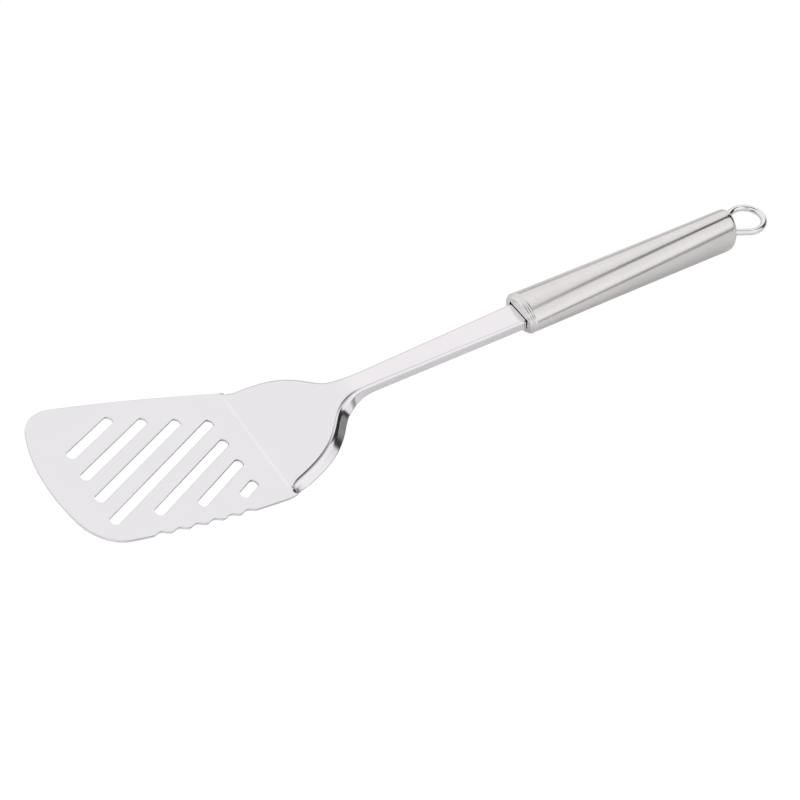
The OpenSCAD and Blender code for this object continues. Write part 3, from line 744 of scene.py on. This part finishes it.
collar = make_piece("beaded_collar", front_cap())
collar.data.materials.append(brushed_steel(
    "polished_collar", turned_about, dull=(0.75, 0.735, 0.73), bright=(0.83, 0.82, 0.815),
    roughness=0.07, spread=0.03, lines=(1800, 60, 60), bands=0.3, relief=0.0003, cloud_size=0.006))
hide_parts("front_cap")


# ---------------------------------------------------------------- weld behind the front cap
# Two beads of filler run across the tang inside the handle. They stay as they cooled: dull
# grey ripples, with the straw and brown of the heat along them.
WELD_GREY, WELD_STRAW = (0.50, 0.50, 0.49), (0.42, 0.33, 0.22)
WELD_ROUGH, WELD_SPREAD, WELD_BANDS, WELD_RELIEF = 0.32, 0.3, 0.5, 0.2


def where_it_is(tree):
    """Plain object coordinates."""
    return linked(tree, "ShaderNodeTexCoord", {}).outputs["Object"]


def weld_bead(name, ripple, cloud_size):
    """Weld metal: the clouds turn it from grey to straw, and the ripples roughen it."""
    material, marks, clouds = marked_metal(
        name, where_it_is, ripple, WELD_BANDS, cloud_size, WELD_RELIEF)
    rough = worked(material.node_tree, "MULTIPLY_ADD", marks, WELD_SPREAD, WELD_ROUGH)
    coloured(material, clouds, WELD_GREY, WELD_STRAW, rough)
    return material


def dressed(node_name, material):
    """Gives a CAD node, whose shape is right as it is, its material."""
    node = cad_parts[node_name]
    node.data.materials.clear()
    node.data.materials.append(material)


dressed("shank_weld", weld_bead("weld_across", ripple=(400, 1400, 400), cloud_size=0.002))


# ---------------------------------------------------------------- rear cap
# A drawn cup nested in the tube's curled rear end. Its end is faced on a lathe, which leaves
# fine circles. The feet of the loop fill their holes in it, so its skin runs on under them.
END_RINGS = 0.6, 0.2, 0.0


def rear_cap():
    """Cup skin from its open rim round the curl to the flat end, which shrinking ovals close."""
    x = np.array([curl_at - SPIGOT_LEN, curl_at])
    outer = np.concatenate([tube_oval(x, TUBE_WALL), curl_ovals(TUBE_WALL)])
    end = outer[-1] * [[1, share, share] for share in END_RINGS]
    back = [CAP_WALL, 0, 0]
    inner = np.concatenate([tube_oval(x, TUBE_WALL + CAP_WALL), outer[-1:] - back, end - back])
    return [ringed(np.concatenate([outer, end])), ringed(inner, flip=True),
            ringed(np.stack([inner[0], outer[0]]))]


cup = make_piece("rear_cup", rear_cap())
cup.data.materials.append(brushed_steel(
    "faced_cup", turned_about, dull=(0.68, 0.66, 0.655), bright=(0.78, 0.76, 0.755),
    roughness=0.2, spread=0.08, lines=(2200, 50, 50), bands=0.4, relief=0.002, cloud_size=0.008))
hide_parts("rear_cap")


# ---------------------------------------------------------------- hanging loop
# A polished round wire bent to a horseshoe: two straight feet pushed through the rear cap and
# welded behind it, small bends, and a wide round end.
WIRE_D, LOOP_R, LEG_ANGLE = 3.0, 8.0, np.radians(27.2)
FOOT_BEND, FOOT_HALF, LOOP_RISE = 1.8, 3.6, 0.9
FOOT_DEPTH, FOOT_STRAIGHT = 3.0, 1.0
WIRE_SIDES, FOOT_RINGS, HEAD_RINGS = 48, 13, 97
loop_at = HANDLE_LEN - TUBE_WALL
loop_reach = (LOOP_R + FOOT_BEND - (FOOT_HALF + FOOT_BEND) * np.cos(LEG_ANGLE)) / np.sin(LEG_ANGLE)


def hanging_loop():
    """A circle carried along the wire's middle line, with its two ends closed inside the cap."""
    a = np.linspace(0, LEG_ANGLE, FOOT_RINGS)
    bend = np.stack([FOOT_BEND * np.sin(a), -FOOT_HALF - FOOT_BEND * (1 - np.cos(a)), -a], axis=-1)
    foot = [[-FOOT_DEPTH, -FOOT_HALF, 0], [-FOOT_STRAIGHT, -FOOT_HALF, 0]]
    side = np.concatenate([foot, bend])
    b = np.linspace(-np.pi / 2 - LEG_ANGLE, np.pi / 2 + LEG_ANGLE, HEAD_RINGS)
    head = np.stack([loop_reach + LOOP_R * np.cos(b), LOOP_R * np.sin(b), b + np.pi / 2], axis=-1)
    other = side[::-1] * [1, -1, -1] + [0, 0, np.pi]
    path = np.concatenate([side[:1], side, head, other, other[-1:]])
    r = np.full((len(path), 1), WIRE_D / 2)
    r[[0, -1]] = 0
    x, y, h = path[:, :1], path[:, 1:2], path[:, 2:]
    k = np.linspace(0, 2 * np.pi, WIRE_SIDES, endpoint=False)
    skin = np.stack([loop_at + x - r * np.cos(k) * np.sin(h), y + r * np.cos(k) * np.cos(h),
                     LOOP_RISE + r * np.sin(k) + 0 * h], axis=-1)
    return [(in_handle(skin), grid_faces(*skin.shape[:2], closed_cols=True))]


loop = make_piece("wire_loop", hanging_loop())
loop.data.materials.append(brushed_steel(
    "polished_wire", round_handle, dull=(0.78, 0.765, 0.76), bright=(0.84, 0.83, 0.825),
    roughness=0.06, spread=0.03, lines=(500, 900, 900), bands=0.5, relief=0.0001, cloud_size=0.004))
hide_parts("hanging_loop")


# ---------------------------------------------------------------- weld at the loop's feet
# A ring of filler holds each foot to the inside of the rear cap. It is the same weld metal, with
# finer ripples that run no particular way.
dressed("loop_weld", weld_bead("weld_round", ripple=(900, 900, 900), cloud_size=0.0015))


# ---------------------------------------------------------------- studio
# A pale floor inside a white light tent. Its open back shows in the steel as a tall dark gap,
# the foot of its wall as a thin dark line, and the photographer's side as a dark round.
world = bpy.data.worlds.new("light_tent")
bpy.context.scene.world = world
world.use_nodes = True
tent = world.node_tree


def in_degrees(operation, *values):
    """Angle from one of the Math node's inverse functions, in degrees."""
    return worked(tent, "MULTIPLY", worked(tent, operation, *values), 180 / np.pi)


def window(value, low, high, soft_low, soft_high):
    """1 between low and high, easing to 0 over soft_low and soft_high degrees, each centred on
    its own end."""
    rise = smoothed(tent, value, low - soft_low / 2, low + soft_low / 2)
    fall = smoothed(tent, value, high + soft_high / 2, high - soft_high / 2)
    return worked(tent, "MULTIPLY", rise, fall)


def patch(across, up):
    """A soft-edged patch of the tent: the product of a window in azimuth and one in height."""
    return worked(tent, "MULTIPLY", window(round_about, *across), window(height, *up))


looking = linked(tent, "ShaderNodeTexCoord", {}).outputs["Generated"]
axes = linked(tent, "ShaderNodeSeparateXYZ", {0: looking}).outputs
round_about = in_degrees("ARCTAN2", axes[1], axes[0])
height = in_degrees("ARCSINE", axes[2])
facing = linked(tent, "ShaderNodeVectorMath", {0: looking, 1: away}, operation="DOT_PRODUCT")
off_camera = in_degrees("ARCCOSINE", facing.outputs["Value"])

# The gap's left edge leans inwards as it rises, its right edge closes in above a height, and
# its foot slopes with azimuth: all in degrees per degree
GAP_LEAN, GAP_FOOT_SLOPE, GAP_CLOSING, GAP_CLOSES_FROM = 0.25, 0.2, 1.4, 55
rising = worked(tent, "MAXIMUM", worked(tent, "SUBTRACT", height, GAP_CLOSES_FROM), 0)
gap_sides = [
    smoothed(tent, worked(tent, "MULTIPLY_ADD", height, -GAP_LEAN, round_about), -35, -29),
    smoothed(tent, worked(tent, "MULTIPLY_ADD", rising, GAP_CLOSING, round_about), 23, 13),
    smoothed(tent, worked(tent, "MULTIPLY_ADD", round_about, -GAP_FOOT_SLOPE, height), 13, 16.5),
    smoothed(tent, height, 66, 62.5),
]
gap = gap_sides[0]
for side in gap_sides[1:]:
    gap = worked(tent, "MULTIPLY", gap, side)
back_panel = patch((46, 76, 12, 16), (38, 58, 12, 8))

# Lighter and darker places, each with what it adds to the tent's level of 1
level = 1.0
for amount, place in (
    (0.08, patch((-82, -46, 10, 12), (12, 42, 12, 16))),       # side panel
    (0.07, back_panel),
    (-0.45, patch((60, 130, 12, 20), (62, 92, 6, 1))),         # unlit cloth above it
    (-0.55, smoothed(tent, height, 64, 76)),                   # roof
):
    level = worked(tent, "MULTIPLY_ADD", place, amount, level)
# Dark places, each with the share of the light that it takes
for amount, place in (
    (0.97, gap),
    (0.50, patch((-34, 20, 6, 8), (1, 12, 3, 4))),             # sill of the gap
    (0.70, patch((-66, 24, 8, 12), (-2, 11, 5, 14))),          # foot of the wall
    (0.45, patch((46, 80, 6, 12), (-3, 12, 4, 8))),            # foot of the far wall
    (0.92, smoothed(tent, off_camera, 15, 9)),                 # camera
):
    level = worked(tent, "MULTIPLY", level, worked(tent, "MULTIPLY_ADD", place, -amount, 1))
# The camera sees plain white, and the floor is lit a little more than the steel
FLOOR_BOOST = 0.3
seen_by = linked(tent, "ShaderNodeLightPath", {}).outputs
level = worked(tent, "MAXIMUM", level, seen_by["Is Camera Ray"])
boost = worked(tent, "MULTIPLY_ADD", seen_by["Is Diffuse Ray"], FLOOR_BOOST, 1)
level = worked(tent, "MULTIPLY", level, boost)
tent.links.new(level, tent.nodes["Background"].inputs["Strength"])
WHITE, WARM_WHITE = (1, 1, 1, 1), (1, 0.98, 0.975, 1)
warmth = linked(tent, "ShaderNodeMix", {
    "Factor": back_panel, "A": WHITE, "B": WARM_WHITE}, data_type="RGBA")
tent.links.new(warmth.outputs["Result"], tent.nodes["Background"].inputs["Color"])

# The paper glows for the camera, so that it stays pure white, with the faintest shadow on it
FLOOR_HALF, PAPER_GREY, PAPER_ROUGH = 3.0, 0.78, 0.9
GLOW_SHARE, GLOW = 0.98, 1.02
floor_mesh = bpy.data.meshes.new("floor")
corners = [(x * FLOOR_HALF, y * FLOOR_HALF, 0) for x, y in ((-1, -1), (1, -1), (1, 1), (-1, 1))]
floor_mesh.from_pydata(corners, [], [(0, 1, 2, 3)])
floor = bpy.data.objects.new("floor", floor_mesh)
bpy.context.scene.collection.objects.link(floor)
paper = bpy.data.materials.new("white_paper")
paper.use_nodes = True
tree = paper.node_tree
shader = tree.nodes["Principled BSDF"]
shader.inputs["Base Color"].default_value = (PAPER_GREY, PAPER_GREY, PAPER_GREY, 1)
shader.inputs["Roughness"].default_value = PAPER_ROUGH
shader.inputs["Specular IOR Level"].default_value = 0
direct = linked(tree, "ShaderNodeLightPath", {}).outputs["Is Camera Ray"]
lit = linked(tree, "ShaderNodeMixShader", {
    0: worked(tree, "MULTIPLY", direct, GLOW_SHARE), 1: shader.outputs[0],
    2: linked(tree, "ShaderNodeEmission", {"Strength": GLOW}).outputs[0]})
tree.links.new(lit.outputs[0], tree.nodes["Material Output"].inputs["Surface"])
floor_mesh.materials.append(paper)

bpy.context.scene.view_settings.view_transform = "Standard"
